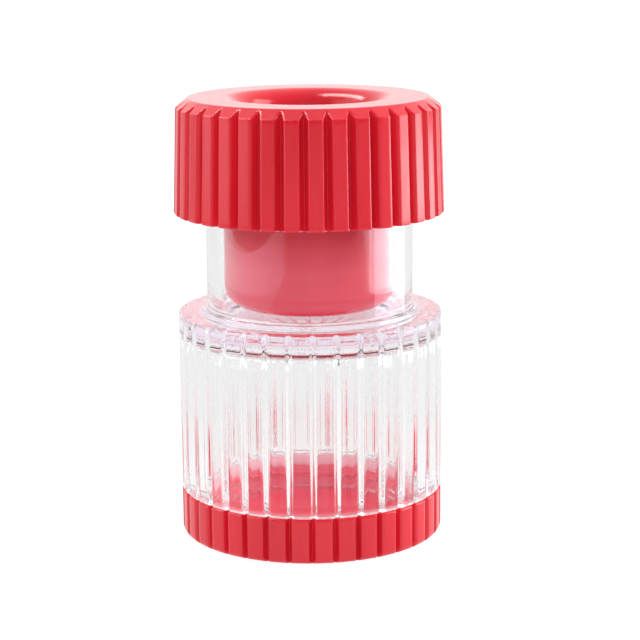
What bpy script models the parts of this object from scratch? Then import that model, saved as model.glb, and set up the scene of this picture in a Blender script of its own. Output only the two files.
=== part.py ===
"""Screw-down tablet crusher with a storage base.

A red ribbed cap carries a hollow plunger and screws down onto the neck of a clear fluted body.
A tablet is crushed between the plunger's face and the floor of the neck.  The chamber under
that floor stores tablets and is closed by a red ribbed base, screwed onto the body's spigot.

Metres, +Z up.  The origin is at the middle of the underside, and every joint turns and slides
on the Z axis.
"""

import math

import bmesh
import bpy
from mathutils import Matrix

MM = 0.001

# ---------------------------------------------------------------- fits
GAP = 0.3 * MM                      # between two neighbouring solids
THREAD_BITE = 0.4 * MM              # how deep a thread is rooted in the wall that carries it

# ---------------------------------------------------------------- ribs
RIBS = 36                           # on the cap, the body and the base alike
CAP_RIB_PHASE = math.radians(-1.75)     # how far each piece is turned in the resting pose
BODY_RIB_PHASE = math.radians(1.2)
BASE_RIB_PHASE = math.radians(0.3)
CAP_GROOVE_WIDTH = 1.5 * MM
CAP_GROOVE_DEPTH = 1.6 * MM
BODY_GROOVE_WIDTH = 1.0 * MM
BODY_GROOVE_DEPTH = 1.2 * MM

# ---------------------------------------------------------------- base
BASE_HEIGHT = 7.7 * MM
BASE_FLOOR = 1.5 * MM
BASE_WALL = 2.2 * MM
BASE_FOOT_ROUNDING = 1.0 * MM

# ---------------------------------------------------------------- clear body
CHAMBER_BORE = 18.0 * MM            # radius of the storage chamber
SPIGOT_WALL = 1.2 * MM
SKIRT_HEIGHT = 30.5 * MM
WEB = 3.7 * MM                      # floor of the neck, roof of the chamber
CUP_BORE = 15.3 * MM                # radius of the crushing cup in the neck
NECK_WALL = 2.3 * MM
COLLAR_WIDTH = 1.1 * MM             # the raised ring at the foot of the neck
COLLAR_HEIGHT = 0.8 * MM
CORNER_FILLET = 1.5 * MM
SPIGOT_FILLET = 1.0 * MM            # where the spigot meets the skirt
EDGE = 0.3 * MM                     # broken outer edges

# ---------------------------------------------------------------- cap and plunger
PLUNGER_CLEARANCE = 0.7 * MM        # plunger to cup, on the radius
PLUNGER_WALL = 2.5 * MM
PLUNGER_LENGTH = 35.75 * MM
PLUNGER_ROUNDING = 4.5 * MM
PLUNGER_GAP = 0.75 * MM             # plunger face over the cup's floor at rest
RECESS_FILLET = 1.9 * MM            # mouth of the hollow plunger
CAP_HEIGHT = 19.4 * MM
CAP_ROOF = 2.5 * MM
CAP_WALL = 4.05 * MM                # at the rim
CAP_DRAFT = 0.6 * MM                # the cap is this much slimmer at its shoulder
CAP_CHAMFER_WIDTH = 2.0 * MM
CAP_CHAMFER_HEIGHT = 1.6 * MM
NECK_HEADROOM = 0.8 * MM            # over the neck when the plunger is right down

# ---------------------------------------------------------------- threads, both right-handed
CAP_LEAD = 3.0 * MM
CAP_THREAD_HEIGHT = 1.0 * MM
CAP_TURNS = 2
CAP_RUN_IN = 3.65 * MM              # from the cap's rim up to the start of its thread
NECK_RUN_OUT = 1.2 * MM             # from the end of the neck's thread up to the neck's top
BASE_LEAD = 2.3 * MM
BASE_THREAD_HEIGHT = 0.8 * MM
SPIGOT_RUN_IN = 0.69 * MM           # from the spigot's end up to the start of its thread
BASE_RUN_OUT = 0.61 * MM            # from the end of both threads up to the base's rim
OUTER_THREAD_SHARE = 0.52           # share of the lead that an outer thread fills at its root
INNER_THREAD_SHARE = 0.38
THREAD_TAPER = 0.55                 # width of a thread's crest over the width of its root
RUN_OUT = 0.12                      # turns over which a thread fades at each end

# ---------------------------------------------------------------- facets
ROUND_STEPS = 60
THREAD_STEPS = 36
ARC_STEPS = 4

# ---------------------------------------------------------------- what follows from the above
SPIGOT_CORE = CHAMBER_BORE + SPIGOT_WALL
SPIGOT_CREST = SPIGOT_CORE + BASE_THREAD_HEIGHT
BASE_BORE = SPIGOT_CREST + GAP
GRIP_RADIUS = BASE_BORE + BASE_WALL         # flat faces of the base's and the body's ribs
SPIGOT_BOTTOM = BASE_FLOOR + GAP
SKIRT_BOTTOM = BASE_HEIGHT + GAP
SHOULDER = SKIRT_BOTTOM + SKIRT_HEIGHT      # also the floor of the crushing cup
CHAMBER_ROOF = SHOULDER - WEB

NECK_RADIUS = CUP_BORE + NECK_WALL
CAP_BORE = NECK_RADIUS + CAP_THREAD_HEIGHT + GAP
CAP_RADIUS = CAP_BORE + CAP_WALL
PLUNGER_RADIUS = CUP_BORE - PLUNGER_CLEARANCE
PLUNGER_FACE = SHOULDER + PLUNGER_GAP
CAP_TOP = PLUNGER_FACE + PLUNGER_LENGTH
CAP_RIM = CAP_TOP - CAP_HEIGHT
CAP_CEILING = CAP_TOP - CAP_ROOF
NECK_TOP = CAP_CEILING - PLUNGER_GAP - NECK_HEADROOM

# each pair of threads lies half a lead apart and ends where its wall does
CAP_THREAD_START = CAP_RIM + CAP_RUN_IN
NECK_THREAD_START = CAP_THREAD_START + CAP_LEAD / 2
NECK_TURNS = (NECK_TOP - NECK_RUN_OUT - NECK_THREAD_START) / CAP_LEAD
SPIGOT_THREAD_START = SPIGOT_BOTTOM + SPIGOT_RUN_IN
SPIGOT_TURNS = (BASE_HEIGHT - BASE_RUN_OUT - SPIGOT_THREAD_START) / BASE_LEAD
BASE_THREAD_START = SPIGOT_THREAD_START + BASE_LEAD / 2
BASE_TURNS = (BASE_HEIGHT - BASE_RUN_OUT - BASE_THREAD_START) / BASE_LEAD


def clear_scene():
    for item in list(bpy.data.objects):
        bpy.data.objects.remove(item, do_unlink=True)


def new_collection(name):
    collection = bpy.data.collections.new(name)
    bpy.context.scene.collection.children.link(collection)
    return collection


def plastic(name, colour, roughness, transmission=0.0, ior=1.5):
    material = bpy.data.materials.new(name)
    material.use_nodes = True
    shader = material.node_tree.nodes["Principled BSDF"]
    shader.inputs["Base Color"].default_value = (*colour, 1.0)
    shader.inputs["Roughness"].default_value = roughness
    shader.inputs["Metallic"].default_value = 0.0
    shader.inputs["Transmission Weight"].default_value = transmission
    shader.inputs["IOR"].default_value = ior
    material.diffuse_color = (*colour, 1.0 - 0.6 * transmission)
    return material


def arc(centre_r, centre_z, radius, start, end):
    """Points of an arc in the (radius, height) plane, angles in degrees from +radius."""
    points = []
    for step in range(ARC_STEPS + 1):
        angle = math.radians(start + (end - start) * step / ARC_STEPS)
        points.append((centre_r + radius * math.cos(angle), centre_z + radius * math.sin(angle)))
    return points


def turned(name, outline, steps, collection, closed=False, phase=0.0):
    """A solid of revolution.  Radii are measured to the middle of its flat facets."""
    to_corner = 1.0 / math.cos(math.pi / steps)
    mesh = bpy.data.meshes.new(name)
    edges = [(index, index + 1) for index in range(len(outline) - 1)]
    if closed:
        edges.append((len(outline) - 1, 0))
    mesh.from_pydata([(radius * to_corner, 0.0, height) for radius, height in outline], edges, [])
    mesh.transform(Matrix.Rotation(phase, 4, "Z"))
    solid = bpy.data.objects.new(name, mesh)
    collection.objects.link(solid)
    screw = solid.modifiers.new("Turn", "SCREW")
    screw.axis = "Z"
    screw.angle = 2 * math.pi
    screw.steps = steps
    screw.render_steps = steps
    screw.use_merge_vertices = True
    screw.merge_threshold = 0.000001
    screw.use_smooth_shade = False
    return solid


def as_helper(solid):
    solid.hide_render = True
    solid.display_type = "WIRE"
    return solid


def groove_cutters(name, face_radius, width, depth, bottom, top, phase, collection, draft=0.0):
    """One V-shaped cutter for each rib, its edge pointing at the axis and leaning with the draft."""
    over = depth                                    # how far the cutter stands proud of the face
    radial = (depth + over) / 1.5                   # a unit triangle is 1.5 deep
    across = width / 2 * (depth + over) / depth / math.sin(math.radians(60))
    lean = math.atan2(draft, top - bottom)
    wedge = Matrix.Diagonal((radial, across, top - bottom, 1.0)) @ Matrix.Rotation(math.pi, 4, "Z")
    place = (Matrix.Translation((face_radius - depth + radial, 0.0, (bottom + top) / 2))
             @ Matrix.Rotation(-lean, 4, "Y"))
    shape = bmesh.new()
    for rib in range(RIBS):
        turn = Matrix.Rotation(phase + 2 * math.pi * rib / RIBS, 4, "Z")
        made = bmesh.ops.create_cone(shape, cap_ends=True, segments=3, radius1=1.0, radius2=1.0, depth=1.0)
        # create_cone puts its first corner on +Y, so it is first turned onto +X
        onto_x = Matrix.Rotation(-math.pi / 2, 4, "Z")
        bmesh.ops.transform(shape, matrix=turn @ place @ wedge @ onto_x, verts=made["verts"])
    return finish_mesh(name, shape, collection)


def thread_ridge(name, wall, height, share, lead, turns, start, collection):
    """A right-handed helical ridge on the wall's radius; a negative height points inwards."""
    inwards = -1.0 if height < 0 else 1.0
    root_half = lead * share / 2
    crest_half = root_half * THREAD_TAPER
    buried = wall - inwards * THREAD_BITE
    crest = wall + height
    section = [(buried, -root_half), (crest, -crest_half), (crest, crest_half), (buried, root_half)]
    shape = bmesh.new()
    corners = [shape.verts.new((radius, 0.0, start + offset)) for radius, offset in section]
    face = shape.faces.new(corners)
    steps = round(turns * THREAD_STEPS)
    bmesh.ops.spin(shape, geom=[face], cent=(0, 0, 0), axis=(0, 0, 1), angle=2 * math.pi * turns,
                   dvec=(0, 0, lead * turns / steps), steps=steps)
    fade_ends(shape, wall, height, inwards, lead, turns, start)
    bmesh.ops.recalc_face_normals(shape, faces=shape.faces)
    return finish_mesh(name, shape, collection)


def fade_ends(shape, wall, height, inwards, lead, turns, start):
    """Sink a thread's crest into its wall over the first and last RUN_OUT turns."""
    sunk = -inwards * THREAD_BITE / 4
    for corner in shape.verts:
        radius = math.hypot(corner.co.x, corner.co.y)
        if abs(radius - wall - height) > abs(height) / 2:
            continue
        around = math.atan2(corner.co.y, corner.co.x) / (2 * math.pi) % 1.0
        whole = round((corner.co.z - start) / lead - around)
        along = min(max(whole + around, 0.0), turns)
        kept = min(1.0, along / RUN_OUT, (turns - along) / RUN_OUT)
        faded = wall + height * kept + sunk * (1.0 - kept)
        corner.co.x *= faded / radius
        corner.co.y *= faded / radius


def finish_mesh(name, shape, collection):
    mesh = bpy.data.meshes.new(name)
    shape.to_mesh(mesh)
    shape.free()
    solid = bpy.data.objects.new(name, mesh)
    collection.objects.link(solid)
    return as_helper(solid)


def combine(solid, other, operation):
    boolean = solid.modifiers.new(other.name, "BOOLEAN")
    boolean.operation = operation
    boolean.solver = "EXACT"
    boolean.object = other


def clear_body(parts, helpers):
    neck_edge = NECK_TOP - EDGE
    outline = [(0.0, SHOULDER)]
    outline += arc(CUP_BORE - CORNER_FILLET, SHOULDER + CORNER_FILLET, CORNER_FILLET, -90, 0)
    outline += [
        (CUP_BORE, neck_edge),
        (CUP_BORE + EDGE, NECK_TOP),
        (NECK_RADIUS - EDGE, NECK_TOP),
        (NECK_RADIUS, neck_edge),
        (NECK_RADIUS, SHOULDER + COLLAR_HEIGHT + EDGE),
        (NECK_RADIUS + EDGE, SHOULDER + COLLAR_HEIGHT),
        (NECK_RADIUS + COLLAR_WIDTH - EDGE, SHOULDER + COLLAR_HEIGHT),
        (NECK_RADIUS + COLLAR_WIDTH, SHOULDER),
        (GRIP_RADIUS - EDGE, SHOULDER),
        (GRIP_RADIUS, SHOULDER - EDGE),
        (GRIP_RADIUS, SKIRT_BOTTOM + EDGE),
        (GRIP_RADIUS - EDGE, SKIRT_BOTTOM),
    ]
    outline += arc(SPIGOT_CORE + SPIGOT_FILLET, SKIRT_BOTTOM - SPIGOT_FILLET, SPIGOT_FILLET, 90, 180)
    outline += [
        (SPIGOT_CORE, SPIGOT_BOTTOM + EDGE),
        (SPIGOT_CORE - EDGE, SPIGOT_BOTTOM),
        (CHAMBER_BORE + EDGE, SPIGOT_BOTTOM),
        (CHAMBER_BORE, SPIGOT_BOTTOM + EDGE),
    ]
    outline += arc(CHAMBER_BORE - CORNER_FILLET, CHAMBER_ROOF - CORNER_FILLET, CORNER_FILLET, 0, 90)
    outline.append((0.0, CHAMBER_ROOF))
    body = turned("clear_body", outline, RIBS, parts, phase=BODY_RIB_PHASE)
    grooves = groove_cutters("body_grooves", GRIP_RADIUS, BODY_GROOVE_WIDTH, BODY_GROOVE_DEPTH,
                             SKIRT_BOTTOM - GAP, SHOULDER + GAP, BODY_RIB_PHASE, helpers)
    neck_thread = thread_ridge("neck_thread", NECK_RADIUS, CAP_THREAD_HEIGHT, OUTER_THREAD_SHARE,
                               CAP_LEAD, NECK_TURNS, NECK_THREAD_START, helpers)
    spigot_thread = thread_ridge("spigot_thread", SPIGOT_CORE, BASE_THREAD_HEIGHT,
                                 OUTER_THREAD_SHARE, BASE_LEAD, SPIGOT_TURNS,
                                 SPIGOT_THREAD_START, helpers)
    combine(body, grooves, "DIFFERENCE")
    combine(body, neck_thread, "UNION")
    combine(body, spigot_thread, "UNION")
    body.data.materials.append(plastic("clear_styrene", (0.95, 0.95, 0.97), 0.05, 1.0, 1.59))
    return body


def plunger(parts):
    """The hollow plunger, open at the top.  It is round, so its turning never shows."""
    bore = PLUNGER_RADIUS - PLUNGER_WALL
    floor = PLUNGER_FACE + PLUNGER_WALL
    inner_round = max(PLUNGER_ROUNDING - PLUNGER_WALL, EDGE)
    outline = [(0.0, floor)]
    outline += arc(bore - inner_round, floor + inner_round, inner_round, -90, 0)
    outline += arc(bore + RECESS_FILLET, CAP_TOP - RECESS_FILLET, RECESS_FILLET, 180, 90)
    outline.append((PLUNGER_RADIUS, CAP_TOP))
    outline += arc(PLUNGER_RADIUS - PLUNGER_ROUNDING, PLUNGER_FACE + PLUNGER_ROUNDING,
                   PLUNGER_ROUNDING, 0, -90)
    outline.append((0.0, PLUNGER_FACE))
    solid = turned("plunger", outline, ROUND_STEPS, parts)
    solid.data.materials.append(plastic("plunger_red", (0.72, 0.03, 0.05), 0.2))
    return solid


def ribbed_cap(parts, helpers):
    shoulder_radius = CAP_RADIUS - CAP_DRAFT
    shoulder_height = CAP_TOP - CAP_CHAMFER_HEIGHT
    outline = [
        (shoulder_radius - CAP_CHAMFER_WIDTH, CAP_TOP),
        (shoulder_radius, shoulder_height),
        (CAP_RADIUS, CAP_RIM + EDGE),
        (CAP_RADIUS - EDGE, CAP_RIM),
        (CAP_BORE + EDGE, CAP_RIM),
        (CAP_BORE, CAP_RIM + EDGE),
        (CAP_BORE, CAP_CEILING),
        (PLUNGER_RADIUS + GAP, CAP_CEILING),
        (PLUNGER_RADIUS + GAP, CAP_TOP),
    ]
    cap = turned("ribbed_cap", outline, RIBS, parts, closed=True, phase=CAP_RIB_PHASE)
    draft = CAP_DRAFT * CAP_HEIGHT / (shoulder_height - CAP_RIM)
    grooves = groove_cutters("cap_grooves", CAP_RADIUS - draft / 2, CAP_GROOVE_WIDTH, CAP_GROOVE_DEPTH,
                             CAP_RIM - GAP, CAP_TOP + GAP, CAP_RIB_PHASE, helpers, draft)
    thread = thread_ridge("cap_thread", CAP_BORE, -CAP_THREAD_HEIGHT, INNER_THREAD_SHARE,
                          CAP_LEAD, CAP_TURNS, CAP_THREAD_START, helpers)
    combine(cap, grooves, "DIFFERENCE")
    combine(cap, thread, "UNION")
    cap.data.materials.append(plastic("cap_red", (0.72, 0.03, 0.05), 0.2))
    return cap


def base_floor(parts):
    radius = BASE_BORE - BASE_THREAD_HEIGHT - GAP
    bpy.ops.mesh.primitive_cylinder_add(vertices=ROUND_STEPS, radius=radius, depth=BASE_FLOOR,
                                        location=(0.0, 0.0, BASE_FLOOR / 2))
    disc = bpy.context.object
    disc.name = "base_floor"
    disc.data.name = "base_floor"
    for owner in list(disc.users_collection):
        owner.objects.unlink(disc)
    parts.objects.link(disc)
    disc.data.materials.append(plastic("floor_red", (0.72, 0.03, 0.05), 0.25))
    return disc


def ribbed_base(parts, helpers):
    seat = BASE_BORE - BASE_THREAD_HEIGHT           # the ring meets the floor disc here
    foot = BASE_FOOT_ROUNDING
    outline = [
        (GRIP_RADIUS - EDGE, BASE_HEIGHT),
        (GRIP_RADIUS, BASE_HEIGHT - EDGE),
    ]
    outline += arc(GRIP_RADIUS - foot, foot, foot, 0, -90)
    outline += [
        (seat, 0.0),
        (seat, BASE_FLOOR),
        (BASE_BORE, BASE_FLOOR),
        (BASE_BORE, BASE_HEIGHT - EDGE),
        (BASE_BORE + EDGE, BASE_HEIGHT),
    ]
    base = turned("ribbed_base", outline, RIBS, parts, closed=True, phase=BASE_RIB_PHASE)
    grooves = groove_cutters("base_grooves", GRIP_RADIUS, BODY_GROOVE_WIDTH, BODY_GROOVE_DEPTH,
                             -GAP, BASE_HEIGHT + GAP, BASE_RIB_PHASE, helpers)
    thread = thread_ridge("base_thread", BASE_BORE, -BASE_THREAD_HEIGHT, INNER_THREAD_SHARE,
                          BASE_LEAD, BASE_TURNS, BASE_THREAD_START, helpers)
    combine(base, grooves, "DIFFERENCE")
    combine(base, thread, "UNION")
    base.data.materials.append(plastic("base_red", (0.72, 0.03, 0.05), 0.2))
    return base


def joint_axis(name, height, children, parts):
    """An empty on the screw axis that carries the pieces which turn and rise together."""
    axis = bpy.data.objects.new(name, None)
    axis.empty_display_type = "SINGLE_ARROW"
    axis.empty_display_size = CAP_HEIGHT
    axis.location = (0.0, 0.0, height)
    parts.objects.link(axis)
    for child in children:
        child.parent = axis
        child.matrix_parent_inverse = Matrix.Translation((0.0, 0.0, -height))


def main():
    clear_scene()
    parts = new_collection("tablet_crusher")
    helpers = new_collection("cutters_and_threads")
    clear_body(parts, helpers)
    joint_axis("cap_axis", CAP_RIM, [plunger(parts), ribbed_cap(parts, helpers)], parts)
    joint_axis("base_axis", BASE_HEIGHT, [base_floor(parts), ribbed_base(parts, helpers)], parts)


main()
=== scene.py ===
"""The tablet crusher's looks: fine meshes, plastics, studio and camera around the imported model.

The cap with its plunger, the clear body and the base are each one moulding on the real object,
so each is one closed mesh here.  A mesh is a grid of stations (points of a turned outline) and
columns (angles).  Its radius is the outline's, cut back at the grooves between the ribs or
raised at a thread.
"""

import math

import bmesh
import bpy
from mathutils import Matrix, Vector


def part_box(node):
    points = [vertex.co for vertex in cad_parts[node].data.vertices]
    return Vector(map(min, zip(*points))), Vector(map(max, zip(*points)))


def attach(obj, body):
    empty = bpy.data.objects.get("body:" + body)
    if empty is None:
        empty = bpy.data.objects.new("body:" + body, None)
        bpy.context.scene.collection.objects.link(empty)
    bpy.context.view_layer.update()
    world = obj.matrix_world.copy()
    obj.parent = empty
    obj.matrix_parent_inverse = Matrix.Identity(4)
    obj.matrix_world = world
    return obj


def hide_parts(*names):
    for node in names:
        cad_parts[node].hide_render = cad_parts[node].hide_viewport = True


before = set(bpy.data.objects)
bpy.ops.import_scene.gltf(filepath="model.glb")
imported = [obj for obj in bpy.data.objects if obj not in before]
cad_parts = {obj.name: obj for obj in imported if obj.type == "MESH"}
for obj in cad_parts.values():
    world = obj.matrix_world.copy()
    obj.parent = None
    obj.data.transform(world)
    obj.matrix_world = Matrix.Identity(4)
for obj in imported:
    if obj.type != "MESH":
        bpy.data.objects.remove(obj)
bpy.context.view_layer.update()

MM = 0.001
TAU = 2 * math.pi


# ---------------------------------------------------------------- sizes, read from the frame
def reach(cad_node):
    """The outer radius of a CAD node, from its box."""
    low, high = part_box(cad_node)
    return (high[0] - low[0]) / 2


BASE_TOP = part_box("ribbed_base")[1][2]
FLOOR_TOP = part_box("base_floor")[1][2]
SPIGOT_BOTTOM, NECK_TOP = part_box("clear_body")[0][2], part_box("clear_body")[1][2]
PLUNGER_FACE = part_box("plunger")[0][2]
CAP_RIM, CAP_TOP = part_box("ribbed_cap")[0][2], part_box("ribbed_cap")[1][2]

# ---------------------------------------------------------------- sizes, matched to the CAD
INSET = 0.9985                          # keeps the ribs' faces inside the CAD's box
GRIP = reach("clear_body") * INSET      # the ribs' faces on the body and on the base
CAP_FACE = reach("ribbed_cap") * INSET
SKIRT_BOTTOM = BASE_TOP + 0.12 * MM     # a hairline over the base
SHOULDER = PLUNGER_FACE - 0.75 * MM     # the cup's floor is level with it
WEB = 3.7 * MM                          # from the cup's floor to the chamber's roof
EDGE = 0.25 * MM                        # rounding of the mouldings' rims
CUP_FILLET = 1.5 * MM                   # in the corners of the cup and of the chamber

# Grooves between the ribs: half their width, their depth, and where the first one is.
RIBS = 36
BODY_GROOVE = {"half": 0.50 * MM, "depth": 1.2 * MM, "phase": math.radians(1.2)}
BASE_GROOVE = {"half": 0.50 * MM, "depth": 1.2 * MM, "phase": math.radians(0.3)}
CAP_GROOVE = {"half": 0.75 * MM, "depth": 1.6 * MM, "phase": math.radians(-1.75)}
EDGE_SOFTNESS = 0.13 * MM               # how much a groove's edges and its root are rounded
ROOT_ROUND, FACE_ROUND = 0.5, 1.4       # the root's and the edges' shares of that
# Where the columns are: out from a groove's middle, in half widths, and between, in pitches.
GROOVE_COLUMNS = (0.12, 0.5, 0.86, 1.0, 1.14, 1.4)
LAND_COLUMNS = (0.34, 0.5, 0.66)

# Threads: a negative height stands inward.  share is the ridge's width over its lead, taper its
# crest's width over its root's.
CHAMBER_BORE = 18.0 * MM
SPIGOT_CORE = 19.2 * MM
SPIGOT_FILLET = 1.0 * MM
SPIGOT_FILLET_STRETCH = 1.9
SPIGOT_THREAD = {"height": 0.45 * MM, "lead": 2.3 * MM, "turns": 2.0, "start": 2.49 * MM,
                 "share": 1.0, "taper": 0.0}
BASE_BORE = 20.3 * MM
BASE_THREAD = {"height": -0.8 * MM, "lead": 2.3 * MM, "turns": 1.5, "start": 3.64 * MM,
               "share": 0.38, "taper": 0.55}
CUP_BORE = 15.3 * MM
NECK = 17.6 * MM
COLLAR = 18.7 * MM
NECK_THREAD = {"height": 1.0 * MM, "lead": 3.0 * MM, "turns": 3.0, "start": NECK_TOP - 10.2 * MM,
               "share": 0.52, "taper": 0.55}
CAP_BORE = 18.9 * MM
CAP_THREAD = {"height": -1.0 * MM, "lead": 3.0 * MM, "turns": 2.0, "start": NECK_TOP - 11.7 * MM,
              "share": 0.38, "taper": 0.55}
THREAD_FADE = 0.12                      # the part of a turn in which a thread's end runs out

PLUNGER = reach("plunger")
PLUNGER_WALL = 2.5 * MM
PLUNGER_ROUND = 4.5 * MM                # at the plunger's lower edge
CAP_MOUTH = PLUNGER - PLUNGER_WALL + 2.1 * MM
MOUTH_WIDTH, MOUTH_DEPTH = 2.9 * MM, 4.2 * MM
CAP_PLATE = 2.5 * MM                    # thickness of the cap's top
CAP_DRAFT = 0.6 * MM                    # how much the cap's side leans inward to the top
CHAMFER_WIDTH, CHAMFER_HEIGHT = 2.0 * MM, 1.6 * MM
CHAMFER_STEPS = 24                      # enough rows for the grooves' arrow-shaped ends


# ---------------------------------------------------------------- turned grids
def arc(centre_r, centre_z, radius, start, end, steps=6):
    """Points on a circle in the outline's plane, from one angle to another in degrees."""
    points = []
    for step in range(steps + 1):
        angle = math.radians(start + (end - start) * step / steps)
        points.append((centre_r + radius * math.cos(angle), centre_z + radius * math.sin(angle)))
    return points


def spread(start, end, step):
    """Heights from start to end, about a step apart, without start itself."""
    count = max(1, round(abs(end - start) / step))
    return [start + (end - start) * (i + 1) / count for i in range(count)]


def stations(points, how=None):
    """The points as stations that share a groove or a thread, or are plain."""
    return [(radius, height, how) for radius, height in points]


def rib_columns(groove, face):
    """Angles from one groove's middle to the next, closest together at the groove's edges."""
    pitch = TAU / RIBS
    half = groove["half"] / face
    side = [share * half for share in GROOVE_COLUMNS]
    land = [share * pitch for share in LAND_COLUMNS]
    return [0.0] + side + land + [pitch - offset for offset in reversed(side)]


def all_columns(groove, face):
    """Every column's angle, and its angle from the groove before it."""
    angles = []
    for rib in range(RIBS):
        for offset in rib_columns(groove, face):
            angles.append((rib * TAU / RIBS + offset + groove["phase"], offset))
    return angles


def ribbed(face, offset, root, groove):
    """Radius of the ribbed surface whose flats lie at face, with V-grooves down to root."""
    pitch = TAU / RIBS
    from_land = offset - pitch / 2
    land = face / math.cos(from_land)
    across = abs(face * math.sin(min(offset, pitch - offset)))
    slope = groove["depth"] / groove["half"]
    rounded = math.sqrt(across ** 2 + EDGE_SOFTNESS ** 2) - ROOT_ROUND * EDGE_SOFTNESS
    flank = root + slope * rounded
    gap = math.sqrt((land - flank) ** 2 + (FACE_ROUND * EDGE_SOFTNESS) ** 2)
    return 0.5 * (land + flank - gap)


def smooth_step(value):
    value = min(max(value, 0.0), 1.0)
    return value * value * (3 - 2 * value)


def thread_height(thread, angle, height):
    """How far the helical ridge stands out of its wall at this angle and height."""
    around = (angle / TAU) % 1.0
    rise = (height - thread["start"]) / thread["lead"] - around
    nearest = round(rise)
    along = nearest + around
    if along < 0 or along > thread["turns"]:
        return 0.0
    off = abs(rise - nearest)
    root, crest = thread["share"] / 2, thread["share"] / 2 * thread["taper"]
    first, last = along / THREAD_FADE, (thread["turns"] - along) / THREAD_FADE
    ends = smooth_step(first) * smooth_step(last)
    return thread["height"] * smooth_step((root - off) / (root - crest)) * ends


def lathe(name, outline, columns):
    """The grid as a closed mesh.  A station is (radius, height, how), where how is None, a groove
    with its root's radius, or a thread.  The outline starts and ends on the axis."""
    shape = bmesh.new()
    rings = []
    for radius, height, how in outline:
        if radius < 1e-7:
            rings.append([shape.verts.new((0.0, 0.0, height))])
            continue
        ring = []
        for angle, offset in columns:
            r = radius
            if how and "root" in how:
                r = ribbed(radius, offset, how["root"], how)
            elif how:
                r = radius + thread_height(how, angle, height)
            ring.append(shape.verts.new((r * math.cos(angle), r * math.sin(angle), height)))
        rings.append(ring)
    count = len(columns)
    for upper, lower in zip(rings, rings[1:]):
        for k in range(count):
            n = (k + 1) % count
            if len(upper) == 1:
                shape.faces.new((upper[0], lower[k], lower[n]))
            elif len(lower) == 1:
                shape.faces.new((upper[k], lower[0], upper[n]))
            else:
                shape.faces.new((upper[k], lower[k], lower[n], upper[n]))
    bmesh.ops.recalc_face_normals(shape, faces=shape.faces)
    mesh = bpy.data.meshes.new(name)
    shape.to_mesh(mesh)
    shape.free()
    for polygon in mesh.polygons:
        polygon.use_smooth = True
    piece = bpy.data.objects.new(name, mesh)
    bpy.context.scene.collection.objects.link(piece)
    return piece


# ---------------------------------------------------------------- the three mouldings
def clear_body():
    """From the cup's floor up its wall, down the neck, the skirt and the spigot, and up inside."""
    groove = dict(BODY_GROOVE, root=GRIP - BODY_GROOVE["depth"])

    # the cup and the neck's rim
    s = stations([(0.0, SHOULDER), (CUP_BORE * 0.5, SHOULDER)])
    s += stations(arc(CUP_BORE - CUP_FILLET, SHOULDER + CUP_FILLET, CUP_FILLET, -90, 0))
    s += stations([(CUP_BORE, SHOULDER + 6 * MM), (CUP_BORE, NECK_TOP - 1 * MM)])
    s += stations(arc(CUP_BORE + EDGE, NECK_TOP - EDGE, EDGE, 180, 90, 4))
    s += stations(arc(NECK - EDGE, NECK_TOP - EDGE, EDGE, 90, 0, 4))

    # the neck's thread and the plain wall under it
    thread_low = NECK_THREAD["start"] - 1.2 * MM
    heights = spread(NECK_TOP - EDGE, thread_low, 0.25 * MM)
    s += stations([(NECK, z) for z in heights], NECK_THREAD)
    s += stations([(NECK, thread_low - 2 * MM), (NECK, SHOULDER + 3 * MM)])

    # the collar at the neck's root
    neck_root, collar_round = 0.5 * MM, 0.3 * MM
    collar_top = SHOULDER + 0.9 * MM
    s += stations(arc(NECK + neck_root, collar_top + neck_root, neck_root, 180, 270))
    s += stations(arc(COLLAR - collar_round, collar_top - collar_round, collar_round, 90, 0, 4))
    s += stations(arc(COLLAR + collar_round, SHOULDER + collar_round, collar_round, 180, 270, 4))

    # the shoulder and the fluted skirt
    lip = 0.35 * MM
    middle = (SHOULDER + SKIRT_BOTTOM) / 2
    s += stations([(groove["root"] - 0.3 * MM, SHOULDER)])
    s += stations(arc(GRIP - lip, SHOULDER - lip, lip, 90, 0, 5), groove)
    heights = (SHOULDER - 1 * MM, middle, SKIRT_BOTTOM + 1 * MM)
    s += stations([(GRIP, z) for z in heights], groove)
    s += stations(arc(GRIP - lip, SKIRT_BOTTOM + lip, lip, 0, -90, 5), groove)
    s += stations([(groove["root"] - 0.2 * MM, SKIRT_BOTTOM)])

    # the spigot, with a fillet that is taller than it is wide
    root_top = SKIRT_BOTTOM - SPIGOT_FILLET * SPIGOT_FILLET_STRETCH
    fillet = arc(SPIGOT_CORE + SPIGOT_FILLET, 0.0, SPIGOT_FILLET, 90, 180, 8)
    s += stations([(r, root_top + z * SPIGOT_FILLET_STRETCH) for r, z in fillet], SPIGOT_THREAD)
    heights = spread(root_top, SPIGOT_BOTTOM + EDGE, 0.1 * MM)
    s += stations([(SPIGOT_CORE, z) for z in heights], SPIGOT_THREAD)
    s += stations(arc(SPIGOT_CORE - EDGE, SPIGOT_BOTTOM + EDGE, EDGE, 0, -90, 4))
    s += stations(arc(CHAMBER_BORE + EDGE, SPIGOT_BOTTOM + EDGE, EDGE, -90, -180, 4))

    # the storage chamber
    roof = SHOULDER - WEB
    s += stations([(CHAMBER_BORE, SPIGOT_BOTTOM + 4 * MM), (CHAMBER_BORE, roof - 4 * MM)])
    s += stations(arc(CHAMBER_BORE - CUP_FILLET, roof - CUP_FILLET, CUP_FILLET, 0, 90))
    s += stations([(CHAMBER_BORE * 0.5, roof), (0.0, roof)])
    return lathe("clear_body_moulding", s, all_columns(BODY_GROOVE, GRIP))


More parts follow.
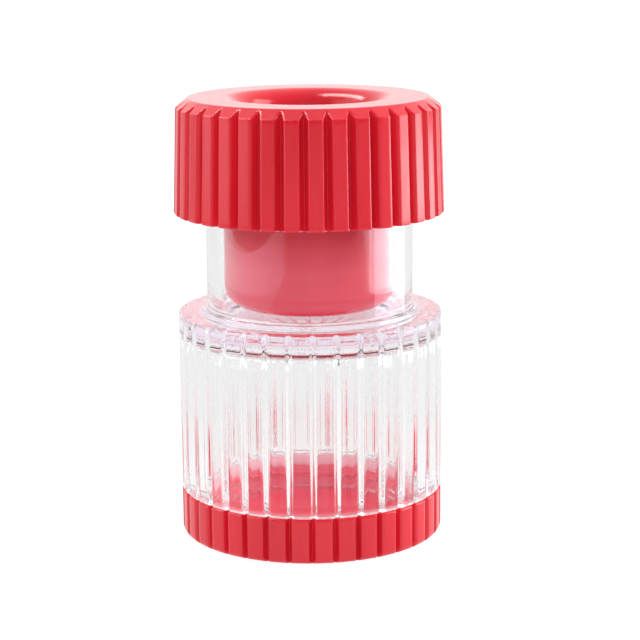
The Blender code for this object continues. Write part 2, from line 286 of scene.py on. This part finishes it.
def cap():
    """From the recess's floor up to the top face, down the ribbed side, up inside the cap and
    down the plunger."""
    shoulder_r, shoulder_z = CAP_FACE - CAP_DRAFT, CAP_TOP - CHAMFER_HEIGHT
    top_edge = shoulder_r - CHAMFER_WIDTH

    def grooved(points):
        """Stations whose grooves keep their depth on the leaning side."""
        made = []
        for radius, height in points:
            lean = CAP_DRAFT * (height - CAP_RIM) / (shoulder_z - CAP_RIM)
            root = CAP_FACE - lean - CAP_GROOVE["depth"]
            made.append((radius, height, dict(CAP_GROOVE, root=root)))
        return made

    # the recess, which is the plunger's inside, and its funnel mouth
    bore = CAP_MOUTH - MOUTH_WIDTH
    inner_floor = PLUNGER_FACE + PLUNGER_WALL
    inner = 2.5 * MM
    s = stations([(0.0, inner_floor), (bore * 0.5, inner_floor)])
    s += stations(arc(bore - inner, inner_floor + inner, inner, -90, 0))
    s += stations([(bore, inner_floor + 8 * MM), (bore, CAP_TOP - 7 * MM)])
    mouth = arc(bore + MOUTH_WIDTH, -MOUTH_WIDTH, MOUTH_WIDTH, 180, 90, 12)
    s += stations([(r, CAP_TOP + z * MOUTH_DEPTH / MOUTH_WIDTH) for r, z in mouth])

    # the top face
    flat = 0.8 * MM
    s += stations([(bore + MOUTH_WIDTH + flat, CAP_TOP), (top_edge - flat, CAP_TOP)])

    # its lip, the chamfer with the grooves' arrow ends, and the leaning side
    slope = math.degrees(math.atan2(CHAMFER_HEIGHT, CHAMFER_WIDTH))
    bend = 0.3 * MM
    s += grooved(arc(top_edge - 0.12 * MM, CAP_TOP - bend, bend, 90, 90 - slope, 3))
    chamfer = []
    for step in range(1, CHAMFER_STEPS):
        t = step / CHAMFER_STEPS
        chamfer.append((top_edge + 0.1 * MM + (CHAMFER_WIDTH - 0.25 * MM) * t,
                        CAP_TOP - 0.1 * MM - (CHAMFER_HEIGHT - 0.2 * MM) * t))
    s += grooved(chamfer)
    s += grooved(arc(shoulder_r - bend, shoulder_z - 0.15 * MM, bend, 90 - slope, 2, 4))
    s += grooved([(shoulder_r + CAP_DRAFT * t, shoulder_z + (CAP_RIM - shoulder_z) * t)
                  for t in (0.05, 0.5, 0.95)])

    # the rim, and the threaded inside up to the cap's plate
    lip = 0.3 * MM
    s += grooved(arc(CAP_FACE - lip, CAP_RIM + lip, lip, 0, -90, 5))
    s += stations([(CAP_FACE - CAP_GROOVE["depth"] - 0.4 * MM, CAP_RIM)])
    s += stations(arc(CAP_BORE + lip, CAP_RIM + lip, lip, -90, -180, 4))
    thread_top = CAP_THREAD["start"] + (CAP_THREAD["turns"] + 0.4) * CAP_THREAD["lead"]
    heights = spread(CAP_RIM + lip, thread_top, 0.25 * MM)
    s += stations([(CAP_BORE, z) for z in heights], CAP_THREAD)
    ceiling = CAP_TOP - CAP_PLATE
    corner = 0.5 * MM
    s += stations(arc(CAP_BORE - corner, ceiling - corner, corner, 0, 90, 4))
    s += stations(arc(PLUNGER + corner, ceiling - corner, corner, 90, 180, 4))

    # the plunger
    round_top = PLUNGER_FACE + PLUNGER_ROUND
    s += stations([(PLUNGER, CAP_RIM), (PLUNGER, round_top + 1 * MM)])
    s += stations(arc(PLUNGER - PLUNGER_ROUND, round_top, PLUNGER_ROUND, 0, -90, 12))
    s += stations([(PLUNGER * 0.4, PLUNGER_FACE), (0.0, PLUNGER_FACE)])
    return lathe("cap_moulding", s, all_columns(CAP_GROOVE, CAP_FACE))


def base():
    """From the base's floor up its threaded inside, over the rim, down the ribs and underneath."""
    groove = dict(BASE_GROOVE, root=GRIP - BASE_GROOVE["depth"])
    corner, lip, foot = 0.4 * MM, 0.3 * MM, 1.0 * MM
    s = stations([(0.0, FLOOR_TOP), (BASE_BORE * 0.5, FLOOR_TOP)])
    s += stations(arc(BASE_BORE - corner, FLOOR_TOP + corner, corner, -90, 0, 4))
    heights = spread(FLOOR_TOP + 0.5 * MM, BASE_TOP - 0.3 * MM, 0.1 * MM)
    s += stations([(BASE_BORE, z) for z in heights], BASE_THREAD)
    s += stations(arc(BASE_BORE + EDGE, BASE_TOP - EDGE, EDGE, 180, 90, 4))
    s += stations([(groove["root"] - 0.2 * MM, BASE_TOP)])
    s += stations(arc(GRIP - lip, BASE_TOP - lip, lip, 90, 0, 4), groove)
    s += stations([(GRIP, BASE_TOP - 1 * MM), (GRIP, foot + 1 * MM)], groove)
    s += stations(arc(GRIP - foot, foot, foot, 0, -90, 6), groove)
    s += stations([(groove["root"] - 0.6 * MM, 0.0), (0.0, 0.0)])
    return lathe("base_moulding", s, all_columns(BASE_GROOVE, GRIP))


# ---------------------------------------------------------------- nodes
def principled(name):
    material = bpy.data.materials.new(name)
    material.use_nodes = True
    return material, material.node_tree, material.node_tree.nodes["Principled BSDF"]


def node(tree, kind, **settings):
    made = tree.nodes.new("ShaderNode" + kind)
    for name, value in settings.items():
        setattr(made, name, value)
    return made


def noise(tree, stretch, scale, detail, rough=0.55):
    """Noise in the piece's own space, its grain stretched by the given factors."""
    place = node(tree, "TexCoord")
    grain = node(tree, "Mapping")
    grain.inputs["Scale"].default_value = stretch
    made = node(tree, "TexNoise")
    made.inputs["Scale"].default_value = scale
    made.inputs["Detail"].default_value = detail
    made.inputs["Roughness"].default_value = rough
    tree.links.new(place.outputs["Object"], grain.inputs["Vector"])
    tree.links.new(grain.outputs[0], made.inputs["Vector"])
    return made.outputs["Fac"]


def ranged(tree, value, low, high, from_low=0.3, from_high=0.7):
    """The value moved to run from low to high.  Unless told, it is taken for a noise, whose
    values lie mostly between 0.3 and 0.7."""
    made = node(tree, "MapRange")
    tree.links.new(value, made.inputs["Value"])
    made.inputs["From Min"].default_value = from_low
    made.inputs["From Max"].default_value = from_high
    made.inputs["To Min"].default_value = low
    made.inputs["To Max"].default_value = high
    return made.outputs["Result"]


def tinted(tree, value, low, high):
    """A colour between low and high, by the value."""
    made = node(tree, "Mix", data_type="RGBA")
    tree.links.new(value, made.inputs["Factor"])
    made.inputs["A"].default_value = (*low, 1)
    made.inputs["B"].default_value = (*high, 1)
    return made.outputs["Result"]


def combined(tree, operation, first, second):
    """Two values joined by a Math operation."""
    made = node(tree, "Math", operation=operation)
    tree.links.new(first, made.inputs[0])
    tree.links.new(second, made.inputs[1])
    return made.outputs[0]


def bump(tree, shader, height, distance, under=None):
    """Bumps on the shader's normal, over those under it."""
    made = node(tree, "Bump")
    made.inputs["Strength"].default_value = 0.5
    made.inputs["Distance"].default_value = distance
    tree.links.new(height, made.inputs["Height"])
    if under is not None:
        tree.links.new(under, made.inputs["Normal"])
    tree.links.new(made.outputs["Normal"], shader.inputs["Normal"])
    return made.outputs["Normal"]


def mixed(tree, share, first, second):
    """The material's surface: the first shader, with a share of the second."""
    mix = node(tree, "MixShader")
    tree.links.new(share, mix.inputs["Fac"])
    tree.links.new(first.outputs["BSDF"], mix.inputs[1])
    tree.links.new(second.outputs["BSDF"], mix.inputs[2])
    tree.links.new(mix.outputs[0], tree.nodes["Material Output"].inputs["Surface"])


def near_height(tree, z, height, inside, outside):
    """One near the given height, falling to zero between two distances from it."""
    away = node(tree, "Math", operation="SUBTRACT")
    away.inputs[1].default_value = height
    tree.links.new(z, away.inputs[0])
    size = node(tree, "Math", operation="ABSOLUTE")
    tree.links.new(away.outputs[0], size.inputs[0])
    return ranged(tree, size.outputs[0], 1.0, 0.0, inside, outside)


# ---------------------------------------------------------------- plastics
def red_plastic(name, dark, light):
    """Glossy moulded red, with flow marks, shallow waves and fine wear."""
    material, tree, shader = principled(name)
    shader.inputs["IOR"].default_value = 1.5
    flow = noise(tree, (1.0, 1.0, 0.35), 90.0, 4.0)
    colour = tinted(tree, ranged(tree, flow, 0.0, 1.0), dark, light)
    tree.links.new(colour, shader.inputs["Base Color"])
    wear = noise(tree, (1.0, 1.0, 0.12), 1400.0, 5.0, 0.7)
    tree.links.new(ranged(tree, wear, 0.10, 0.22), shader.inputs["Roughness"])
    waves = noise(tree, (1.0, 1.0, 0.25), 260.0, 2.0)
    wavy = bump(tree, shader, waves, 0.012 * MM)
    bump(tree, shader, wear, 0.003 * MM, wavy)
    return material


def clear_plastic():
    """Clear styrene with faint flow streaks, lilac at the shoulder, and hazy and lilac at the
    spigot's root.  The shoulder's lilac and the lilac tint on all its reflections are painted
    reflection of the pink surroundings.  Lamps and lit surfaces shine straight through it."""
    dim, bright = (0.955, 0.965, 0.97), (0.985, 0.99, 0.99)
    # the shoulder's lilac is a painted reflection of the pink surroundings
    shoulder_painted_reflection, root_lilac = (0.93, 0.83, 0.95), (0.97, 0.88, 0.95)
    material, tree, shader = principled("clear_plastic")
    shader.inputs["Roughness"].default_value = 0.0
    shader.inputs["IOR"].default_value = 1.55
    # painted reflection colour: every reflection is tinted lilac
    shader.inputs["Specular Tint"].default_value = (0.78, 0.74, 1.0, 1)
    streaks = noise(tree, (1.0, 1.0, 0.01), 220.0, 0.0)
    colour = tinted(tree, ranged(tree, streaks, 0.0, 1.0), dim, bright)
    place = node(tree, "TexCoord")
    split = node(tree, "SeparateXYZ")
    tree.links.new(place.outputs["Object"], split.inputs[0])
    z = split.outputs["Z"]
    at_shoulder = near_height(tree, z, SHOULDER - 0.5 * MM, 0.5 * MM, 3.0 * MM)
    at_root = near_height(tree, z, SKIRT_BOTTOM - 1.0 * MM, 0.6 * MM, 1.2 * MM)
    for near, lilac in ((at_shoulder, shoulder_painted_reflection), (at_root, root_lilac)):
        both = node(tree, "Mix", data_type="RGBA", blend_type="MULTIPLY")
        both.inputs["Factor"].default_value = 1.0
        tree.links.new(colour, both.inputs["A"])
        tree.links.new(tinted(tree, near, (1.0, 1.0, 1.0), lilac), both.inputs["B"])
        colour = both.outputs["Result"]
    tree.links.new(colour, shader.inputs["Base Color"])
    clear_share = ranged(tree, at_root, 1.0, 0.45, 0.0, 1.0)
    tree.links.new(clear_share, shader.inputs["Transmission Weight"])
    ray = node(tree, "LightPath").outputs
    lighting = combined(tree, "MAXIMUM", ray["Is Shadow Ray"], ray["Is Diffuse Ray"])
    mixed(tree, lighting, shader, node(tree, "BsdfTransparent"))
    return material


def paint_inside_lit(piece, material):
    """Gives the base's inside above its floor a material of its own: a brighter, pinker copy of
    the red whose colour is painted light, standing in for the light that reaches into the cup.
    """
    piece.data.materials.append(material)
    wall, low = BASE_BORE + 0.1 * MM, FLOOR_TOP + 0.1 * MM
    for polygon in piece.data.polygons:
        place = polygon.center
        if math.hypot(place.x, place.y) < wall and place.z > low:
            polygon.material_index = 1


# ---------------------------------------------------------------- studio
def plane(name, size, height):
    """A level square that isn't part of the object and goes with the base, which stands on it."""
    bpy.ops.mesh.primitive_plane_add(size=size, location=(0, 0, height))
    made = bpy.context.object
    made.name = name
    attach(made, "base_floor")
    return made


def white_floor():
    """A pale floor that glows a little, like a light table, with a painted pool of light: its glow
    is brightest just in front of the object.  Seen directly it is nearly white.
    """
    floor = plane("studio_floor", 7.0, -0.2 * MM)
    material, tree, shader = principled("floor_white")
    shader.inputs["Base Color"].default_value = (0.24, 0.24, 0.24, 1)
    shader.inputs["Roughness"].default_value = 0.6
    shader.inputs["Specular IOR Level"].default_value = 0.0
    shader.inputs["Emission Color"].default_value = (1, 1, 1, 1)
    place = node(tree, "TexCoord")
    far = node(tree, "VectorMath", operation="DISTANCE")
    tree.links.new(place.outputs["Object"], far.inputs[0])
    far.inputs[1].default_value = (0, -0.05, 0)
    # painted pool of light: the glow that lights the object is strongest just in front of it
    painted_light_pool = ranged(tree, far.outputs["Value"], 0.76, 0.56, 0.03, 0.13)
    ray = node(tree, "LightPath").outputs
    glow = node(tree, "Mix", data_type="FLOAT")
    tree.links.new(ray["Is Camera Ray"], glow.inputs["Factor"])
    tree.links.new(painted_light_pool, glow.inputs["A"])
    glow.inputs["B"].default_value = 0.90
    tree.links.new(glow.outputs["Result"], shader.inputs["Emission Strength"])
    floor.data.materials.append(material)


def dark_card():
    """A dark card just over the floor, seen only in reflections and through the clear plastic,
    where it paints dark reflections of the unlit floor in front.  It lies in front and to the
    left, and fades in away from the object."""
    card = plane("dark_card", 0.80, 0.5 * MM)
    material, tree, shader = principled("card_painted_dark_reflection")
    # painted reflection: the dark of the unlit floor in front
    shader.inputs["Base Color"].default_value = (0.15, 0.15, 0.15, 1)
    shader.inputs["Specular IOR Level"].default_value = 0.0
    place = node(tree, "TexCoord")
    far = node(tree, "VectorMath", operation="LENGTH")
    tree.links.new(place.outputs["Object"], far.inputs[0])
    side = node(tree, "VectorMath", operation="DOT_PRODUCT")
    tree.links.new(place.outputs["Object"], side.inputs[0])
    side.inputs[1].default_value = (-0.35, -0.94, 0)
    outer = ranged(tree, far.outputs["Value"], 0.0, 1.0, 0.26, 0.32)
    in_front = ranged(tree, side.outputs["Value"], 0.0, 1.0, 0.0, 0.08)
    shown = combined(tree, "MULTIPLY", outer, in_front)
    mixed(tree, shown, node(tree, "BsdfTransparent"), shader)
    card.data.materials.append(material)
    card.visible_camera = False
    card.visible_diffuse = False
    card.visible_shadow = False


def front_to_back(tree, front, back, low, high):
    """A grey that runs from the front of the studio to its back."""
    direction = node(tree, "TexCoord")
    split = node(tree, "SeparateXYZ")
    tree.links.new(direction.outputs["Generated"], split.inputs[0])
    along = ranged(tree, split.outputs["Y"], 0.0, 1.0, low, high)
    return tinted(tree, along, (front,) * 3, (back,) * 3)


def room():
    """The white room: plain white where it is seen, dim in front where it lights and reflects."""
    world = bpy.data.worlds.new("studio")
    bpy.context.scene.world = world
    world.use_nodes = True
    tree = world.node_tree
    light = front_to_back(tree, 0.20, 1.27, -0.75, 0.70)
    through = front_to_back(tree, 0.50, 0.95, -0.6, 0.4)
    ray = node(tree, "LightPath").outputs
    inner = node(tree, "Mix", data_type="RGBA")
    tree.links.new(ray["Is Transmission Ray"], inner.inputs["Factor"])
    tree.links.new(light, inner.inputs["A"])
    tree.links.new(through, inner.inputs["B"])
    outer = node(tree, "Mix", data_type="RGBA")
    tree.links.new(ray["Is Camera Ray"], outer.inputs["Factor"])
    tree.links.new(inner.outputs["Result"], outer.inputs["A"])
    outer.inputs["B"].default_value = (1, 1, 1, 1)
    tree.links.new(outer.outputs["Result"], tree.nodes["Background"].inputs["Color"])


def area_light(name, location, target, size, power, unseen=(), along=(0, 0, 1)):
    """A rectangular lamp that faces its target, its second side as near to along as it can be.
    The camera, rays through the clear plastic and the kinds of ray in unseen don't meet it."""
    data = bpy.data.lights.new(name, "AREA")
    data.shape = "RECTANGLE"
    data.size, data.size_y = size
    data.energy = power
    light = bpy.data.objects.new(name, data)
    bpy.context.scene.collection.objects.link(light)
    back = (Vector(location) - Vector(target)).normalized()
    side = Vector(along).cross(back).normalized()
    up = back.cross(side)
    turn = Matrix((side, up, back)).transposed().to_4x4()
    light.matrix_world = Matrix.Translation(location) @ turn
    for ray in ("camera", "transmission", *unseen):
        setattr(light, "visible_" + ray, False)
    return light


def bright_card(name, x, y, length, height, power):
    """A low upright lamp close to the object, for the bright bars in its reflections."""
    middle = 5 * MM + height / 2
    card = area_light(name, (x, y, middle), (0, 0, middle), (length, height), power, ("diffuse",))
    card.visible_transmission = True
    return card


def lamps():
    cup, neck, top = (0, 0, 0.03), (0, 0, 0.05), (0, 0, 0.07)
    area_light("right_softbox", (0.50, 0.03, 0.16), neck, (0.34, 0.55), 2.3)
    area_light("left_softbox", (-0.48, -0.14, 0.18), neck, (0.50, 0.55), 0.85)
    area_light("top_softbox", (0.0, 0.10, 0.55), cup, (0.5, 0.5), 1.1, ("glossy",), (0, 1, 0))
    area_light("strip", (-0.28, 0.01, 0.485), top, (0.13, 0.52), 2.4, ("diffuse",),
               (-0.48, 0.69, -0.38))
    area_light("front_fill", (0.0, -0.55, 0.40), cup, (0.5, 0.5), 1.35, ("glossy",))
    bright_card("right_card", 0.158, 0.026, 0.16, 0.050, 0.065)
    left = bright_card("left_card", -0.160, -0.050, 0.34, 0.018, 0.0070)
    left.data.spread = math.radians(120)


def camera():
    """The camera at the photograph's angle, looking a little down."""
    place, dip, roll = (0.0016877, -0.33769, 0.10973), 0.2136, -0.0082
    data = bpy.data.cameras.new("camera")
    data.sensor_width = 36.0
    data.lens = 113.05
    data.clip_start, data.clip_end = 0.01, 20.0
    cam = bpy.data.objects.new("camera", data)
    bpy.context.scene.collection.objects.link(cam)
    tilt = Matrix.Rotation(math.pi / 2 - dip, 4, "X")
    cam.matrix_world = Matrix.Translation(place) @ tilt @ Matrix.Rotation(roll, 4, "Z")
    bpy.context.scene.camera = cam


# ---------------------------------------------------------------- the scene
red = red_plastic("red_plastic", (0.66, 0.009, 0.024), (0.76, 0.016, 0.034))
# painted light: a brighter, pinker copy of the red for the base's inside, lit more than the
# outside
painted_lit_red = red_plastic("red_plastic_painted_lit_inside", (0.95, 0.08, 0.12), (1.0, 0.10, 0.14))
clear = clear_plastic()
for make, material, body, nodes, slot in (
    (cap, red, "cap", ("ribbed_cap", "plunger"), "red_moulding"),
    (clear_body, clear, "body", ("clear_body",), "clear_body"),
    (base, red, "base", ("ribbed_base", "base_floor"), "red_moulding"),
):
    piece = make()
    piece.data.materials.append(material)
    if body == "base":
        paint_inside_lit(piece, painted_lit_red)
    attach(piece, body)
    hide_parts(*nodes)

camera()
white_floor()
dark_card()
room()
lamps()
bpy.context.scene.cycles.max_bounces = 32
bpy.context.scene.cycles.transmission_bounces = 40
bpy.context.scene.cycles.glossy_bounces = 16
bpy.context.scene.cycles.transparent_max_bounces = 24
bpy.context.scene.view_settings.view_transform = "Standard"
